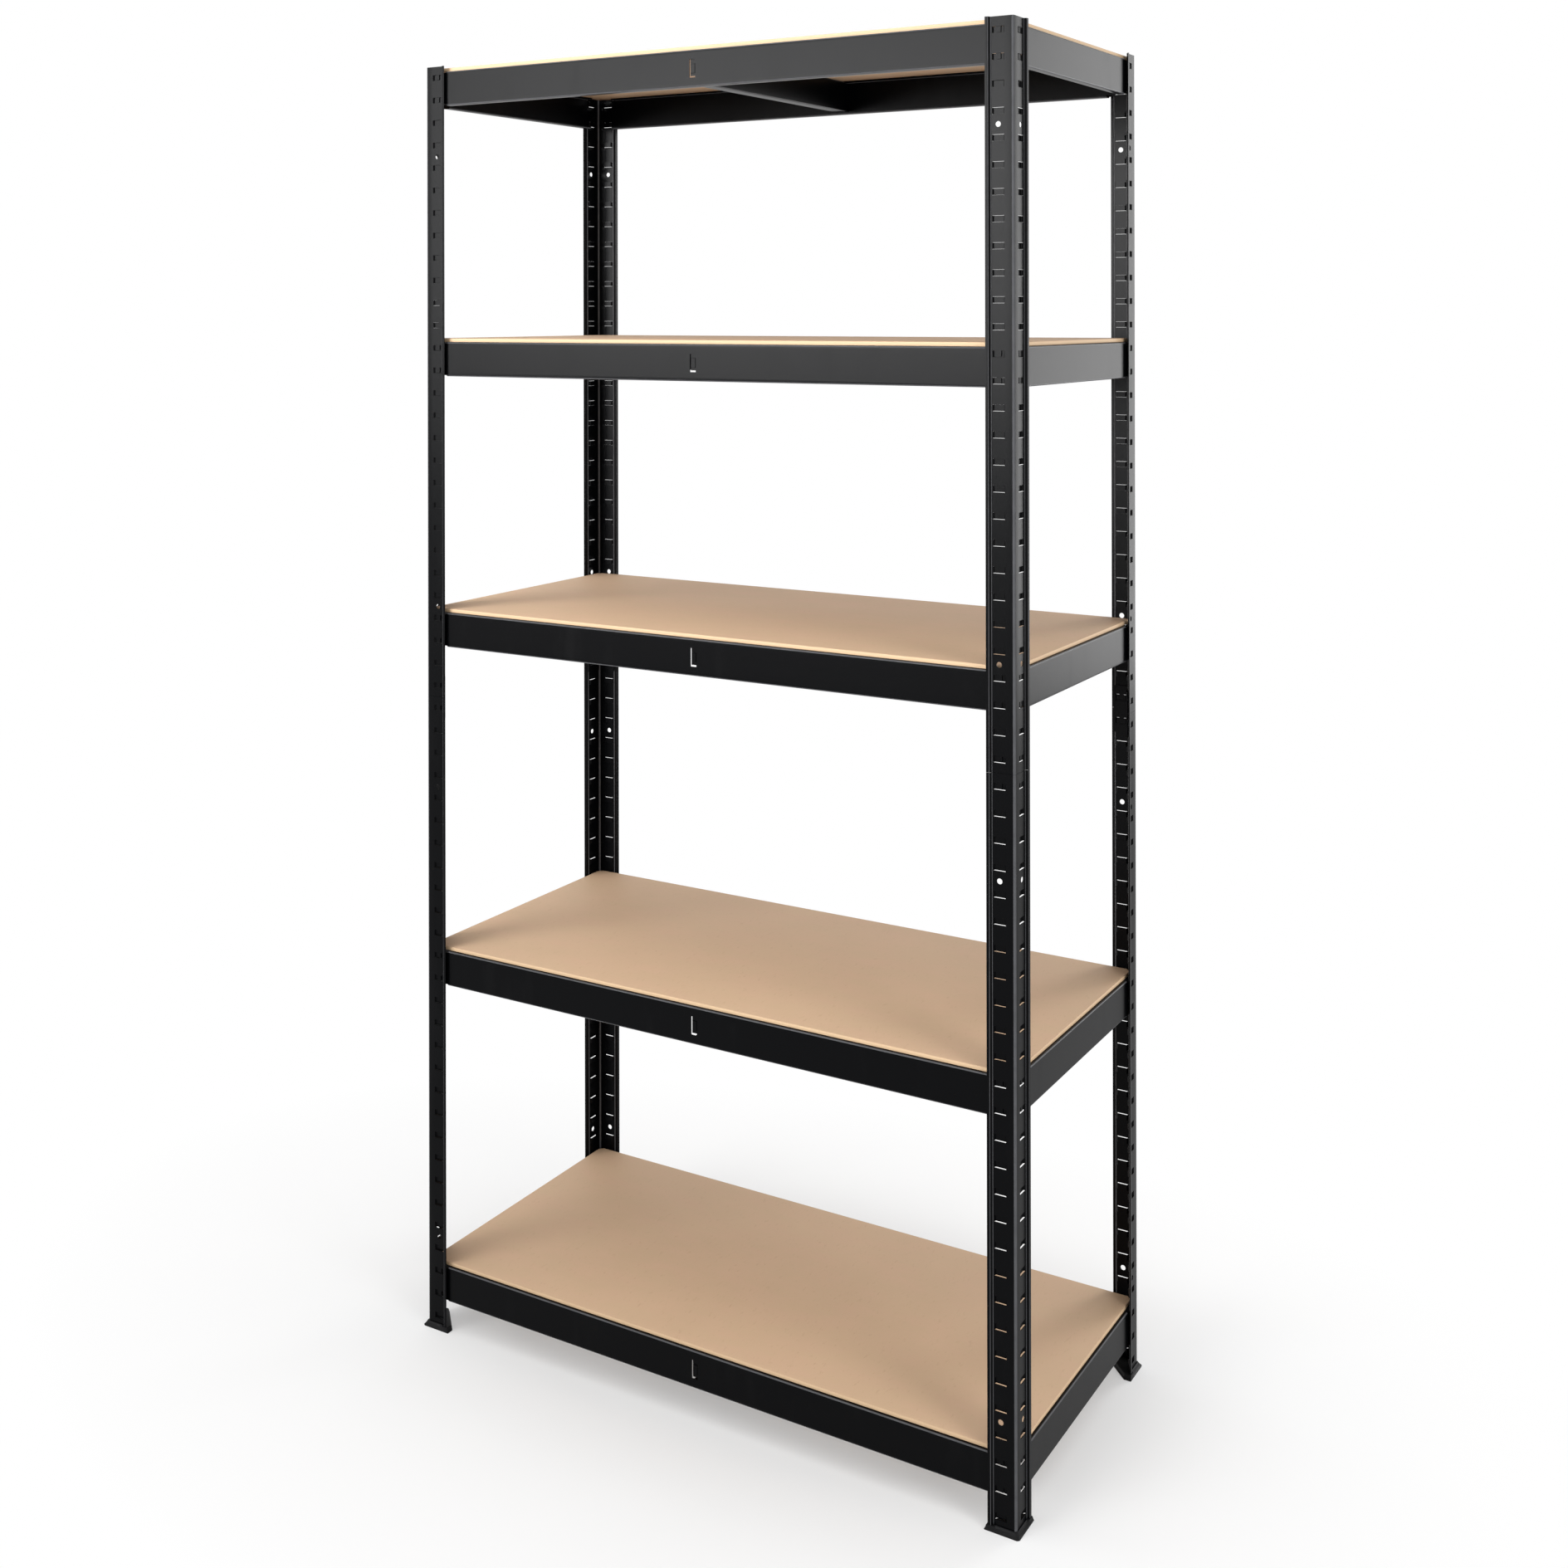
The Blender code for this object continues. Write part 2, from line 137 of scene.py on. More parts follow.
def punch(bm, *boxes):
    """Take out the faces whose middle lies in one of the boxes."""
    gone = [f for f in bm.faces if any(inside(f.calc_center_median(), b) for b in boxes)]
    bmesh.ops.delete(bm, geom=gone, context='FACES')


def finish_sheet(name, bm, thickness, mat, outward):
    """Give the sheet its thickness behind the face that looks outward; make the piece."""
    bmesh.ops.remove_doubles(bm, verts=bm.verts[:], dist=1e-6)
    bmesh.ops.recalc_face_normals(bm, faces=bm.faces[:])
    probe = max(bm.faces, key=lambda f: f.calc_area())
    if probe.normal.dot(Vector(outward)) < 0:
        bmesh.ops.reverse_faces(bm, faces=bm.faces[:])
    obj = piece(name, bm, mat)
    shell = obj.modifiers.new("thickness", 'SOLIDIFY')
    shell.thickness, shell.offset, shell.use_even_offset = thickness, -1, True
    apply_modifiers(obj)
    soften(obj)
    return obj


def piece(name, bm, mat):
    mesh = bpy.data.meshes.new(name)
    bm.to_mesh(mesh)
    bm.free()
    mesh.materials.append(mat)
    obj = bpy.data.objects.new(name, mesh)
    bpy.context.scene.collection.objects.link(obj)
    return obj


def apply_modifiers(obj):
    graph = bpy.context.evaluated_depsgraph_get()
    done = bpy.data.meshes.new_from_object(obj.evaluated_get(graph))
    obj.modifiers.clear()
    obj.data = done


def soften(obj, degrees=32):
    """Smooth shading, with edges sharper than the angle kept crisp."""
    obj.data.shade_smooth()
    obj.data.set_sharp_from_angle(angle=math.radians(degrees))


def placed(obj, name, matrix):
    """A copy of a finished piece with its place in its mesh."""
    bm = bmesh.new()
    bm.from_mesh(obj.data)
    bmesh.ops.transform(bm, matrix=matrix, verts=bm.verts[:])
    if matrix.determinant() < 0:
        bmesh.ops.reverse_faces(bm, faces=bm.faces[:])
    copy = piece(name, bm, obj.data.materials[0])
    soften(copy)
    return copy


def corner_matrix(corner, z=0.0):
    """Corner-local (u, v, z), measured inwards from the post corner, to the unit."""
    sx, sy = CORNERS[corner]
    return Matrix(((-sx, 0, 0, sx * WIDTH / 2), (0, -sy, 0, sy * DEPTH / 2),
                   (0, 0, 1, z), (0, 0, 0, 1)))


# -------------------------------------------------------------------- posts

def tongue_runs():
    """Widths of the strips across a tongue: ramp, flat middle, ramp."""
    stops = [0.0] + [run for run, part in RAMP]
    ramp = [b - a for a, b in zip(stops, stops[1:])]
    return ramp + [TONGUE_W - 2 * stops[-1]] + ramp[::-1]


def depth_at(inset):
    """Part of the full press reached at a distance in from the tongue's end."""
    for run, part in RAMP:
        if inset < run + CLOSE:
            return part
    return 1.0


def post_path(bm):
    """The post's outer section, from one flange's jogged lip round to the other's."""
    jog, corner, lean = JOG, POST_CORNER, LEAN
    sine, cosine = math.sin(math.radians(lean)), math.cos(math.radians(lean))
    slope = (LIP_STEP - 2 * jog * (1 - cosine)) / sine
    reach = 2 * jog * sine + slope * cosine
    lip = FLANGE - LIP_AT - reach
    path = Fold(bm, -LIP_STEP, FLANGE, -90)
    path.run(lip).bend(jog, lean, 3).run(slope).bend(jog, -lean, 3)
    runs = tongue_runs()
    path.run(LIP_AT - TONGUE_STOP, *runs, TONGUE_START - corner)
    path.bend(corner, 90, 7)
    path.run(TONGUE_START - corner, *runs, LIP_AT - TONGUE_STOP)
    path.bend(jog, -lean, 3).run(slope).bend(jog, lean, 3).run(lip)


def slot_path(bm):
    """The post's section with plain corners, for the slot in its cap."""
    slope = LIP_STEP / math.sin(math.radians(LEAN))
    start = LIP_AT + JOG * math.tan(math.radians(LEAN / 2))
    lip = FLANGE + 2 * GAP - start - slope * math.cos(math.radians(LEAN))
    path = Fold(bm, -LIP_STEP, FLANGE + 2 * GAP, -90)
    path.run(lip).turn(LEAN).run(slope).turn(-LEAN).run(start - POST_CORNER)
    path.bend(POST_CORNER, 90, 7)
    path.run(start - POST_CORNER).turn(-LEAN).run(slope).turn(LEAN).run(lip)


def post_template(mat):
    """One post half: rounded angle, jogged lips, pressed tongues, round holes."""
    bm = bmesh.new()
    post_path(bm)
    raise_sheet(bm, GAP / 2, POST - GAP / 2)
    half = TONGUE_H / 2
    for k in range(TONGUES):
        z = (k + 0.5) * PITCH
        score(bm, 2, z - half, z + half)
    for z in HOLES:
        score(bm, 2, z - HOLE_FIELD, z + HOLE_FIELD)
    for flange in (0, 1):
        press_tongues(bm, flange)
        for z in HOLES:
            drill(bm, flange, z)
    return finish_sheet("post_template", bm, SHEET, mat, (-1, -1, 0))


def press_tongues(bm, flange):
    """Lance each tongue along its long edges and push its middle inwards."""
    along, across = flange, 1 - flange
    half, end = TONGUE_H / 2, 1e-4
    lower, upper = 0.0003, -0.0002     # how far each long edge closes in
    cuts = []
    for e in bm.edges:
        a, b = (v.co for v in e.verts)
        mid = (a + b) / 2
        level, on_face = abs(a.z - b.z) < 1e-6, abs(mid[across]) < CLOSE
        if not (level and on_face and TONGUE_START < mid[along] < TONGUE_STOP):
            continue
        if abs(abs((a.z / PITCH) % 1 - 0.5) * PITCH - half) < 2 * CLOSE:
            cuts.append(e)
    bmesh.ops.split_edges(bm, edges=cuts)
    moved = set()
    for f in bm.faces:
        c = f.calc_center_median()
        if (abs(c[across]) < CLOSE and TONGUE_START < c[along] < TONGUE_STOP
                and abs((c.z / PITCH) % 1 - 0.5) * PITCH < half):
            moved.update(v for v in f.verts
                         if TONGUE_START + end < v.co[along] < TONGUE_STOP - end)
    for v in moved:
        inset = min(v.co[along] - TONGUE_START, TONGUE_STOP - v.co[along])
        v.co[across] += PRESS * depth_at(inset)
        v.co.z += lower if (v.co.z / PITCH) % 1 < 0.5 else upper


def drill(bm, flange, z):
    """Round hole in a flange, bridged into the square of sheet around it."""
    along, across = flange, 1 - flange
    square = [f for f in bm.faces if abs(f.calc_center_median()[across]) < CLOSE
              and TONGUE_START < f.calc_center_median()[along] < TONGUE_STOP
              and abs(f.calc_center_median().z - z) < HOLE_FIELD]
    rim = [e for f in square for e in f.edges
           if sum(g in square for g in e.link_faces) == 1]
    bmesh.ops.delete(bm, geom=square, context='FACES_KEEP_BOUNDARY')
    centre = Vector((0, 0, z))
    centre[along] = TONGUE_MID
    turn = Matrix.Rotation(math.radians(90), 4, 'Y' if flange else 'X')
    ring = bmesh.ops.create_circle(bm, cap_ends=False, radius=HOLE_RADIUS, segments=24,
                                   matrix=Matrix.Translation(centre) @ turn)
    circle = list({e for v in ring["verts"] for e in v.link_edges})
    bmesh.ops.bridge_loops(bm, edges=rim + circle)


def make_posts(mat):
    """Two halves, one above the other, at each corner."""
    template = post_template(mat)
    for corner in CORNERS:
        for half, z in (("lower", PLATE), ("upper", PLATE + POST)):
            name = "post_%s_%s" % (half, corner)
            post = placed(template, "shown_" + name, corner_matrix(corner, z))
            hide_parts(name)
            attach(post, "uprights")
    bpy.data.objects.remove(template)


# -------------------------------------------------------------------- beams

def window(centre, lift):
    """Heights of a hook window: lowest edge, hook tip, upper edge."""
    top = centre + HELD + GAP
    return centre - HELD - lift - 0.0005, top - TOOTH, top


def window_parts(heights):
    """The openings of one window, as (height span, span along the flange)."""
    low, tip, high = heights
    return (((low, tip), WINDOW), ((tip, high), (WINDOW[0], HOOK[0])),
            ((tip, high), (HOOK[1], WINDOW[1])))


def beam_template(half, slot, mat, name):
    """Folded channel with hook windows at both ends; X runs outwards, Z along."""
    bm = bmesh.new()
    face, h, r = GAP + SHEET, BEAM_H / 2, BEAM_BEND
    hem_bend, hem = 0.0012, 0.0022
    path = Fold(bm, LEDGE, h, 180)
    path.run(LEDGE - face - r).bend(r, 90, 5)
    path.run(BEAM_H - 2 * r).bend(r, 90, 5).run(FOOT - face - r)
    path.bend(hem_bend, 90, 3).run(hem)
    raise_sheet(bm, -half + BEAM_END, half - BEAM_END)
    stations = [half - u for u in (WINDOW[0], *HOOK, WINDOW[1], FULL_SECTION)]
    score(bm, 2, *[s * side for s in stations for side in (-1, 1)])
    wins = [window(PITCH / 2, UNHOOK), window(-PITCH / 2, UNHOOK)]
    score(bm, 1, *[y for w in wins for y in w if abs(y) < h - r], h - r, -(h - r))
    web, whole, inner = (0, 0.0016), (-1, 1), (0.005, 1)
    holes = []
    for side in (-1, 1):
        def strip(a, b):
            return tuple(sorted((side * (half - a), side * (half - b))))
        for win in wins:
            holes += [(web, height, strip(*span)) for height, span in window_parts(win)]
        ends = strip(0, FULL_SECTION)
        holes += [(whole, (h - r, 1), ends), (whole, (-1, -(h - r)), ends),
                  (inner, (-1, 0), ends)]
    if slot:
        wide, high = SLOT
        score(bm, 2, -wide, wide)
        score(bm, 1, -high, high)
        holes.append((web, (-high, high), (-wide, wide)))
    punch(bm, *holes)
    round_corners(bm)
    return finish_sheet(name, bm, BEAM_SHEET, mat, (-1, 0, 0))


def round_corners(bm):
    """Ease the punched corners of the web."""
    sharp = []
    for v in bm.verts:
        rim = [e for e in v.link_edges if e.is_boundary]
        if abs(v.co.x - GAP - SHEET) > CLOSE or len(rim) != 2:
            continue
        a, b = (e.other_vert(v).co - v.co for e in rim)
        if math.radians(80) < a.angle(b) < math.radians(100):
            sharp.append(v)
    bmesh.ops.bevel(bm, geom=sharp, offset=0.0008, offset_type='OFFSET', affect='VERTICES',
                    segments=2, profile=0.5, material=-1)


def make_beams(mat):
    """Four beams a tier, turned from one long and one short template."""
    long_beam = beam_template(WIDTH / 2, True, mat, "long_beam_template")
    short_beam = beam_template(DEPTH / 2, False, mat, "short_beam_template")
    for k, pitches in enumerate(TIERS, 1):
        z = PLATE + pitches * PITCH
        for side, sign in (("front", -1), ("back", 1)):
            turned = Matrix(((0, 0, 1, 0), (-sign, 0, 0, sign * DEPTH / 2),
                             (0, 1, 0, z), (0, 0, 0, 1)))
            add_beam(long_beam, k, side, turned)
        for side, sign in (("left", -1), ("right", 1)):
            turned = Matrix(((-sign, 0, 0, sign * WIDTH / 2), (0, 0, 1, 0),
                             (0, 1, 0, z), (0, 0, 0, 1)))
            add_beam(short_beam, k, side, turned)
    for template in (long_beam, short_beam):
        bpy.data.objects.remove(template)


def add_beam(template, tier, side, matrix):
    name = "beam_%d_%s" % (tier, side)
    beam = placed(template, "shown_" + name, matrix)
    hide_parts(name)
    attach(beam, "tier_%d" % tier)


# -------------------------------------------------------- boards

def make_boards(mat):
    """Loose boards with clipped corners and a touch of softness on the sawn edges."""
    x, y, t = WIDTH / 2 - BOARD_IN, DEPTH / 2 - BOARD_IN, BOARD_T
    for k, pitches in enumerate(TIERS, 1):
        z = PLATE + pitches * PITCH + BEAM_H / 2 + GAP + t / 2
        bm = bmesh.new()
        bmesh.ops.create_cube(bm, size=1, matrix=Matrix.Translation((0, 0, z)) @
                              Matrix.Diagonal((2 * x, 2 * y, t, 1)))
        upright = [e for e in bm.edges if abs(e.verts[0].co.z - e.verts[1].co.z) > t / 2]
        bmesh.ops.bevel(bm, geom=upright, offset=BOARD_CLIP, offset_type='OFFSET',
                        affect='EDGES', segments=1, profile=0.5, material=-1)
        bmesh.ops.bevel(bm, geom=bm.edges[:], offset=0.0004, offset_type='OFFSET',
                        affect='EDGES', segments=2, profile=0.5, material=-1)
        board = piece("shown_board_%d" % k, bm, mat)
        soften(board, 40)
        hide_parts("board_%d" % k)
        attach(board, "board_%d" % k)


# ------------------------------------------------- splices, bars, foot caps

def carve(obj, tool):
    """Cut a closed tool out of a piece."""
    cut = obj.modifiers.new("cut", 'BOOLEAN')
    cut.operation, cut.solver, cut.object = 'DIFFERENCE', 'EXACT', tool
    apply_modifiers(obj)
    bpy.data.objects.remove(tool)


def make_splices(mat):
    """Angle plates inside the joint of the post halves, hooked on four tongues."""
    bm = bmesh.new()
    face, r, arm, h, plate = GAP + SHEET, 0.003, 0.031, 0.032, 0.0015
    marks = (arm, WINDOW[1], HOOK[1], HOOK[0], WINDOW[0])
    runs = [a - b for a, b in zip(marks, marks[1:])] + [WINDOW[0] - face - r]
    path = Fold(bm, face, arm, -90)
    path.run(*runs).bend(r, 90, 5).run(*runs[::-1])
    raise_sheet(bm, -h, h)
    wins = [window(PITCH / 2, 0.0005), window(-PITCH / 2, 0.0005)]
    score(bm, 2, *[z for w in wins for z in w])
    skin = (0, 0.002)
    holes = []
    for win in wins:
        for height, span in window_parts(win):
            holes += [(span, skin, height), (skin, span, height)]
    punch(bm, *holes)
    ends = [v for v in bm.verts
            if abs(abs(v.co.z) - h) < 1e-6 and max(v.co.x, v.co.y) > arm - 1e-6]
    bmesh.ops.bevel(bm, geom=ends, offset=0.003, offset_type='OFFSET', affect='VERTICES',
                    segments=4, profile=0.5, material=-1)
    template = finish_sheet("splice_template", bm, plate, mat, (-1, -1, 0))
    for corner in CORNERS:
        name = "splice_connector_" + corner
        splice = placed(template, "shown_" + name, corner_matrix(corner, PLATE + POST))
        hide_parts(name)
        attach(splice, "uprights")
    bpy.data.objects.remove(template)


def make_bars(mat):
    """Channel bar under each board: folded top, web and foot, end plates with a boss."""
    reach = DEPTH / 2 - SHEET - 2 * GAP - BEAM_SHEET
    w, top, low, r, sheet = 0.008, BEAM_H / 2, -0.020, 0.0016, 0.001
    under = top - 0.0018               # the end plates stop under the beams' ledges
    notch = DEPTH / 2 - LEDGE - GAP
    bm = bmesh.new()
    # section in XY, later stood on its side: X stays across the bar, Y becomes up
    path = Fold(bm, -w, top, 0)
    path.run(2 * w - r).bend(r, -90, 4).run(top - low - 2 * r).bend(r, -90, 4).run(2 * w - r)
    raise_sheet(bm, -reach, reach)
    score(bm, 2, -notch, notch)
    score(bm, 1, under)
    punch(bm, *[((-1, 1), (under, 1), tuple(sorted((side * notch, side * (reach + 1)))))
                for side in (-1, 1)])
    bmesh.ops.rotate(bm, verts=bm.verts[:], cent=(0, 0, 0),
                     matrix=Matrix.Rotation(math.pi / 2, 3, 'X'))
    channel = finish_sheet("bar_channel", bm, sheet, mat, (1, 0, 0))
    for side in (-1, 1):
        end = bar_end(side, reach, under, w - sheet, sheet, mat)
        bm = bmesh.new()
        bm.from_mesh(channel.data)
        bm.from_mesh(end.data)
        bm.to_mesh(channel.data)
        bm.free()
        bpy.data.objects.remove(end)
    for k, pitches in enumerate(TIERS, 1):
        name = "centre_bar_%d" % k
        bar = placed(channel, "shown_" + name, Matrix.Translation((0, 0, PLATE + pitches * PITCH)))
        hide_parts(name)
        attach(bar, "tier_%d" % k)
    bpy.data.objects.remove(channel)


def bar_end(side, reach, lid, right, sheet, mat):
    """End plate of a bar, with a boss that stands in the beam's slot."""
    foot, left = -0.0098, -0.0036
    boss_left, boss_right, boss_up, boss_out = left + 0.0004, 0.0039, 0.0065, 0.0011
    plate = bmesh.new()
    middle = Vector(((left + right) / 2, side * reach, (lid + foot) / 2))
    bmesh.ops.create_grid(plate, x_segments=1, y_segments=1, size=0.5,
                          matrix=Matrix.Translation(middle) @
                          Matrix.Rotation(math.pi / 2, 4, 'X') @
                          Matrix.Diagonal((right - left, lid - foot, 1, 1)))
    score(plate, 0, boss_left, boss_right)
    score(plate, 2, -boss_up, boss_up)
    boss = [f for f in plate.faces if boss_left < f.calc_center_median().x < boss_right
            and abs(f.calc_center_median().z) < boss_up]
    bmesh.ops.inset_region(plate, faces=boss, thickness=0.0005, depth=0)
    bmesh.ops.translate(plate, verts=list({v for f in boss for v in f.verts}),
                        vec=(0, side * boss_out, 0))
    return finish_sheet("bar_end", plate, sheet, mat, (0, side, 0))


def make_feet(mat):
    """Flared caps pushed over the post ends, with a rim and a crease above it."""
    flare, reach, back = 0.0052, FLANGE + 0.004, 0.005
    jog = (0.0265, 0.0280)             # marks where the sides pass from flange to lip
    bm = bmesh.new()
    corners = [(reach, back), (back, reach), (-flare, reach), (-flare, jog[1]), (-flare, jog[0]),
               (-flare, -flare), (jog[0], -flare), (jog[1], -flare), (reach, -flare)]
    for x, y in corners:
        bmesh.ops.create_vert(bm, co=(x, y, 0))
    bmesh.ops.contextual_create(bm, geom=bm.verts[:])
    outer = [v for v in bm.verts if v.co.x < 0 and v.co.y < 0]
    bmesh.ops.bevel(bm, geom=outer, offset=0.0035, offset_type='OFFSET', affect='VERTICES',
                    segments=5, profile=0.5, material=-1)
    ring = bottom = bm.faces[:]
    before = (0.0, 0.0, 0.0)
    # height, then how far flange sides, lip sides and ends have drawn in
    steps = ((0.0, 0.0005, 0.0005, 0.0), (0.0005, 0.0, 0.0, 0.0), (0.0015, 0.0, 0.0, 0.0),
             (0.0018, 0.0006, 0.0003, 0.0004), (0.0036, 0.0019, 0.0006, 0.0012),
             (0.0055, 0.0030, 0.0008, 0.0020), (0.0066, 0.0036, 0.0010, 0.0024),
             (0.0070, 0.0041, 0.0010, 0.0028))
    for z, *draws in steps:
        if z:
            below, out = ring, bmesh.ops.extrude_face_region(bm, geom=ring)
            if below is not bottom:
                bmesh.ops.delete(bm, geom=below, context='FACES_ONLY')
            ring = [g for g in out["geom"] if isinstance(g, bmesh.types.BMFace)]
            bmesh.ops.translate(bm, verts=list({v for f in ring for v in f.verts}),
                                vec=(0, 0, z - ring[0].verts[0].co.z))
        draw_in(ring, *[d - b for d, b in zip(draws, before)])
        before = draws
    bmesh.ops.recalc_face_normals(bm, faces=bm.faces[:])
    block = piece("foot_template", bm, mat)
    slot = bmesh.new()
    slot_path(slot)
    raise_sheet(slot, PLATE, 0.015)
    bmesh.ops.translate(slot, verts=slot.verts[:], vec=(-GAP, -GAP, 0))
    tool = finish_sheet("slot_tool", slot, SHEET + 2 * GAP, mat, (-1, -1, 0))
    carve(block, tool)
    soften(block, 30)
    for corner in CORNERS:
        name = "foot_cap_" + corner
        cap = placed(block, "shown_" + name, corner_matrix(corner))
        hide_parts(name)
        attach(cap, "uprights")
    bpy.data.objects.remove(block)


def draw_in(faces, sides, lips, ends):
    """Move the cap's outer sides, the parts round the post's lips and the ends inwards."""
    outer, lip_from, end_from = 0.0045, 0.0275, 0.0350
    for v in {v for f in faces for v in f.verts}:
        for axis in (0, 1):
            if v.co[axis] < outer:
                v.co[axis] += lips if v.co[1 - axis] > lip_from else sides
            elif v.co[axis] > end_from:
                v.co[axis] -= ends


# ---------------------------------------------------------------- materials

class Val:
    """A number socket that takes part in Python expressions."""

    def __init__(self, nodes, socket):
        self.nodes, self.socket = nodes, socket

    def math(self, operation, *others):
        return self.nodes.add("ShaderNodeMath", {"operation": operation},
                              [self] + list(others))

    def __add__(self, o): return self.math('ADD', o)
    __radd__ = __add__
    def __mul__(self, o): return self.math('MULTIPLY', o)
    __rmul__ = __mul__
    def __sub__(self, o): return self.math('SUBTRACT', o)
    def __rsub__(self, o): return (self * -1.0) + o
    def clamp(self): return self.math('MAXIMUM', 0.0).math('MINIMUM', 1.0)


class Nodes:
    """One material's node tree."""

    def __init__(self, name):
        self.mat = bpy.data.materials.new(name)
        self.mat.use_nodes = True
        self.tree = self.mat.node_tree
        self.shader = self.tree.nodes["Principled BSDF"]

    def add(self, kind, settings=None, inputs=(), out=0):
        """A node of a kind, its settings, then its sockets' values or links."""
        node = self.tree.nodes.new(kind)
        for key, value in (settings or {}).items():
            setattr(node, key, value)
        pairs = inputs.items() if isinstance(inputs, dict) else enumerate(inputs)
        for key, value in pairs:
            if isinstance(value, Val):
                self.tree.links.new(value.socket, node.inputs[key])
            else:
                node.inputs[key].default_value = value
        return Val(self, node.outputs[out])

    def place(self, scale=(1, 1, 1), turn=(0, 0, 0)):
        """Object coordinates, stretched and turned."""
        where = self.add("ShaderNodeTexCoord", out=3)
        return self.add("ShaderNodeMapping", {}, {"Vector": where, "Scale": scale,
                                                  "Rotation": turn})

    def noise(self, where, scale, detail=3.0, rough=0.5):
        return self.add("ShaderNodeTexNoise", {}, {"Vector": where, "Scale": scale,
                                                   "Detail": detail, "Roughness": rough})

    def blend(self, a, b, mask):
        return self.add("ShaderNodeMix", {"data_type": 'RGBA'}, {0: mask, 6: a, 7: b}, out=2)

    def feed(self, **links):
        """Set or link the shader's sockets and hand back the material."""
        for key, value in links.items():
            socket = self.shader.inputs[key.replace("_", " ")]
            if isinstance(value, Val):
                self.tree.links.new(value.socket, socket)
            else:
                socket.default_value = value
        return self.mat


def powder_coat():
    """Satin black powder coat: fine orange peel, handling marks, and a paler colour painted along
    the bends as a highlight.
    """
    n = Nodes("satin_black_powder_coat")
    where = n.place()
    peel = n.noise(where, 900.0, 2.0, 0.6)
    wave = n.noise(where, 60.0, 2.0, 0.5)
    rub = n.noise(n.place((1.0, 1.0, 0.25)), 14.0, 5.0, 0.65)
    scuff = ((rub - 0.56) * 6.0).clamp()
    colour = n.blend((0.0011, 0.0012, 0.0016, 1), (0.0040, 0.0040, 0.0044, 1), scuff * 0.6)
    bend = n.add("ShaderNodeAttribute", {"attribute_name": "bend"}, out=2)
    # painted highlight: bend vertices get a paler colour, mottled by the wave noise, standing in
    # for the light the bends catch
    bend_highlight = bend * (wave * 0.5 + 0.7).clamp()
    colour = n.blend(colour, (0.078, 0.079, 0.084, 1), bend_highlight)
    bump = n.add("ShaderNodeBump", {}, {"Strength": 0.12, "Distance": 0.0003,
                                        "Height": peel * 0.7 + wave * 0.6})
    return n.feed(Base_Color=colour, Roughness=peel * 0.06 + scuff * 0.05 - bend_highlight * 0.05 + 0.27,
                  Normal=bump, Metallic=0.0, IOR=1.5, Specular_IOR_Level=0.062)


def fibreboard():
    """Raw fibreboard: pressed fibres on the faces, paler sawn edges."""
    n = Nodes("raw_fibreboard")
    where = n.place()
    cloud = n.noise(where, 6.0, 4.0, 0.6)
    fibre = n.noise(where, 420.0, 4.0, 0.7)
    fleck = n.noise(n.place((1.0, 0.35, 1.0), (0, 0, 0.5)), 260.0, 3.0, 0.6)
    patch = n.noise(n.place((0.7, 1.6, 1.0)), 19.0, 4.0, 0.6)
    face = n.blend((0.505, 0.348, 0.218, 1), (0.580, 0.404, 0.258, 1), cloud)
    face = n.blend(face, (0.575, 0.372, 0.250, 1), ((patch - 0.40) * 3.0).clamp() * 0.55)
    face = n.blend(face, (0.40, 0.262, 0.158, 1), ((fleck - 0.60) * 5.0).clamp() * 0.45)
    face = n.blend(face, (0.66, 0.50, 0.36, 1), ((fibre - 0.58) * 4.0).clamp() * 0.30)
    normal = n.add("ShaderNodeNewGeometry", out=1)
    upward = n.add("ShaderNodeSeparateXYZ", {}, {0: normal}, out=2)
    edge = (1.0 - upward.math('ABSOLUTE') * 1.6).clamp()
    colour = n.blend(face, (0.600, 0.425, 0.255, 1), edge * 0.9)
    bump = n.add("ShaderNodeBump", {}, {"Strength": 0.25, "Distance": 0.0002,
                                        "Height": fibre + fleck})
    return n.feed(Base_Color=colour, Roughness=fibre * 0.12 + 0.62, Normal=bump)


def foot_plastic():
    """Moulded black plastic with a fine spark-eroded grain."""
    n = Nodes("moulded_black_plastic")
    grain = n.noise(n.place(), 1500.0, 2.0, 0.5)
    cloud = n.noise(n.place(), 40.0, 2.0, 0.5)
    colour = n.blend((0.0045, 0.0045, 0.0050, 1), (0.0075, 0.0075, 0.0080, 1), cloud)
    bump = n.add("ShaderNodeBump", {}, {"Strength": 0.2, "Distance": 0.0001, "Height": grain})
    return n.feed(Base_Color=colour, Roughness=grain * 0.1 + 0.42, Normal=bump,
                  Specular_IOR_Level=0.12)


# ------------------------------------------------------- stage, light, camera

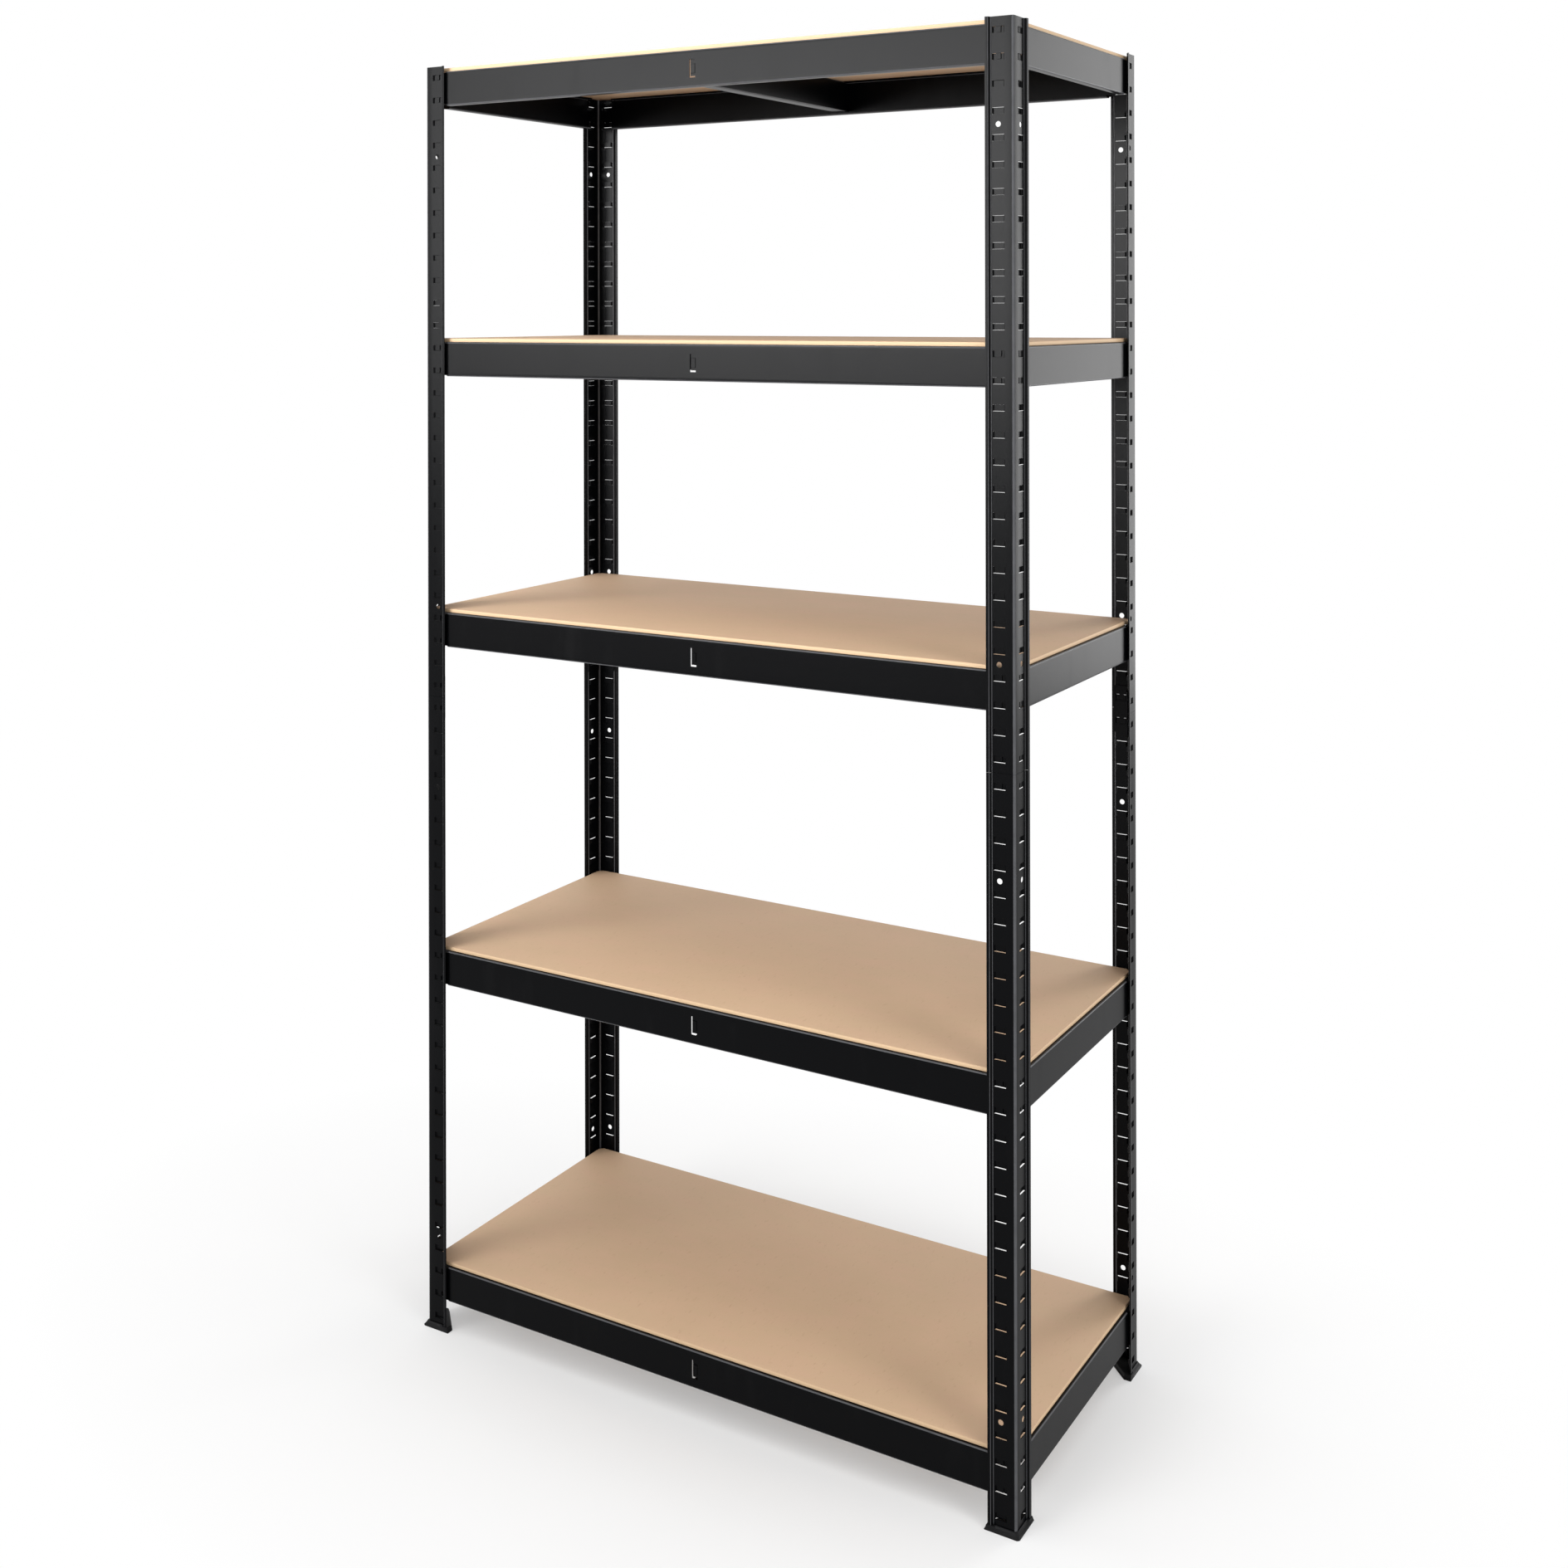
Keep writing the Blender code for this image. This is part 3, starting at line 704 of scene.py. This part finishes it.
def stage():
    """Pale floor that keeps a soft shadow near the feet and runs out to white."""
    bm = bmesh.new()
    bmesh.ops.create_circle(bm, cap_ends=True, radius=30.0, segments=64)
    n = Nodes("pale_floor")
    n.feed(Base_Color=(0.88, 0.88, 0.88, 1), Roughness=0.95, Specular_IOR_Level=0.1)
    path = n.tree.nodes.new("ShaderNodeLightPath")
    seen = Val(n, path.outputs["Is Camera Ray"])
    for ray in ("Is Glossy Ray", "Is Transmission Ray"):
        seen = seen.math('MAXIMUM', Val(n, path.outputs[ray]))
    around = n.place((1.0, 1.6, 1.0))
    away = n.add("ShaderNodeVectorMath", {"operation": 'LENGTH'}, [around], out=1)
    fade = ((away - 0.40) * 1.2).clamp() * 0.75 + 0.25
    glow = n.add("ShaderNodeEmission", {}, {"Color": (1, 1, 1, 1), "Strength": 1.0})
    both = n.tree.nodes.new("ShaderNodeMixShader")
    n.tree.links.new((seen * fade).socket, both.inputs[0])
    n.tree.links.new(n.shader.outputs[0], both.inputs[1])
    n.tree.links.new(glow.socket, both.inputs[2])
    n.tree.links.new(both.outputs[0], n.tree.nodes["Material Output"].inputs[0])
    floor = piece("floor", bm, n.mat)


def lamp(name, size, place, aim, power, spread=180):
    """A rectangular soft box that the camera doesn't see."""
    data = bpy.data.lights.new(name, 'AREA')
    data.shape, data.size, data.size_y = 'RECTANGLE', size[0], size[1]
    data.energy, data.spread = power, math.radians(spread)
    obj = bpy.data.objects.new(name, data)
    obj.location = place
    obj.visible_camera = False
    obj.rotation_euler = (Vector(aim) - Vector(place)).to_track_quat('-Z', 'Y').to_euler()
    bpy.context.scene.collection.objects.link(obj)


def lights():
    """Even studio light from four soft boxes, and a white world behind everything."""
    world = bpy.context.scene.world or bpy.data.worlds.new("studio")
    bpy.context.scene.world = world
    world.use_nodes = True
    back = world.node_tree.nodes["Background"]
    back.inputs["Color"].default_value = (1, 1, 1, 1)
    path = world.node_tree.nodes.new("ShaderNodeLightPath")
    both = world.node_tree.nodes.new("ShaderNodeMath")
    more = world.node_tree.nodes.new("ShaderNodeMath")
    level = world.node_tree.nodes.new("ShaderNodeMapRange")
    both.operation = more.operation = 'MAXIMUM'
    level.inputs["To Min"].default_value = 0.74
    for a, b in ((path.outputs["Is Camera Ray"], both.inputs[0]),
                 (path.outputs["Is Glossy Ray"], both.inputs[1]),
                 (both.outputs[0], more.inputs[0]),
                 (path.outputs["Is Transmission Ray"], more.inputs[1]),
                 (more.outputs[0], level.inputs["Value"]),
                 (level.outputs[0], back.inputs["Strength"])):
        world.node_tree.links.new(a, b)
    lamp("front_softbox", (2.7, 1.5), (-1.7, -3.5, 1.95), (0, 0, 1.8), 37, 64)
    lamp("back_softbox", (1.2, 2.3), (1.75, 3.2, 1.4), (0.3, 0, 1.4), 42)
    lamp("corner_softbox", (1.2, 2.2), (3.38, -1.48, 1.35), (0, 0, 1.2), 46)
    lamp("top_softbox", (2.6, 2.0), (-0.9, -0.9, 4.0), (0, 0, 0.8), 26)


def camera():
    """Standing eye height, off the front right corner, with the verticals kept upright."""
    data = bpy.data.cameras.new("camera")
    data.sensor_fit, data.sensor_width = 'HORIZONTAL', 36.0
    data.lens = 42.52078
    data.shift_x, data.shift_y = 0.0046, -0.3015
    data.clip_start, data.clip_end = 0.05, 50
    obj = bpy.data.objects.new("camera", data)
    yaw, pitch, roll = (math.radians(a) for a in (30.755, 0.026, -0.113))
    obj.matrix_world = (Matrix.Translation((1.3180, -2.2061, 1.4327)) @
                        Matrix.Rotation(yaw, 4, 'Z') @
                        Matrix.Rotation(math.pi / 2 + pitch, 4, 'X') @
                        Matrix.Rotation(roll, 4, 'Z'))
    bpy.context.scene.collection.objects.link(obj)
    bpy.context.scene.camera = obj


steel = powder_coat()
make_posts(steel)
make_beams(steel)
make_boards(fibreboard())
make_splices(steel)
make_bars(steel)
make_feet(foot_plastic())
stage()
lights()
camera()
bpy.context.scene.view_settings.view_transform = 'Standard'
